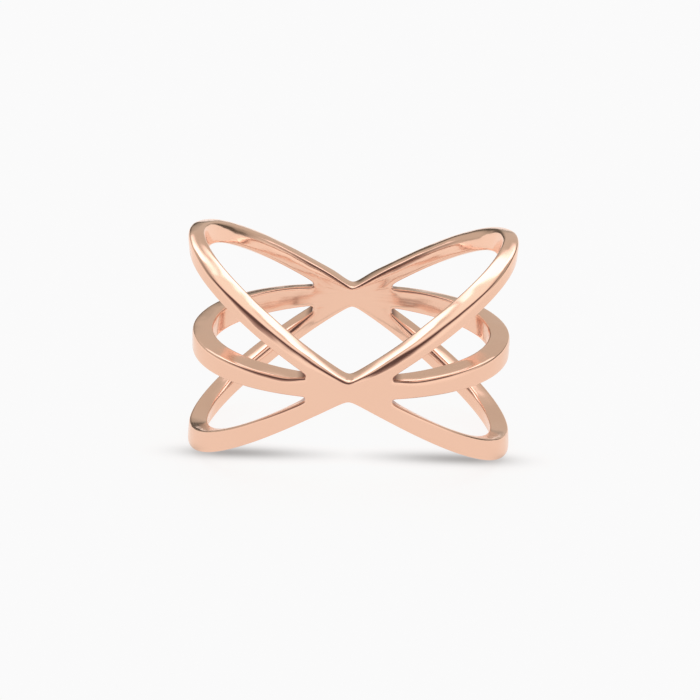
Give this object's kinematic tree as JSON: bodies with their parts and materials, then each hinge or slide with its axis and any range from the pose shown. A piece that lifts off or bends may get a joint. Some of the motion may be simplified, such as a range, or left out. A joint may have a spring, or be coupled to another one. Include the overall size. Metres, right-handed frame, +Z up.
{
  "type": "weave ring",
  "caption": "Finger ring of a flat middle band and wave bands above and below that cross and fuse at front and back, with open windows between them.",
  "frame": {"origin": "middle of the ring's footprint, on the surface that it rests on", "axes": "+Z runs up the finger hole, the front web faces -Y, and the peaks of the wave bands stand at +X and -X"},
  "size_m": [0.0204, 0.02, 0.0139],
  "materials": {
    "rose_gold": "polished rose gold"
  },
  "bodies": {
    "root": {"ring": "rose_gold"}
  },
  "joints": []
}
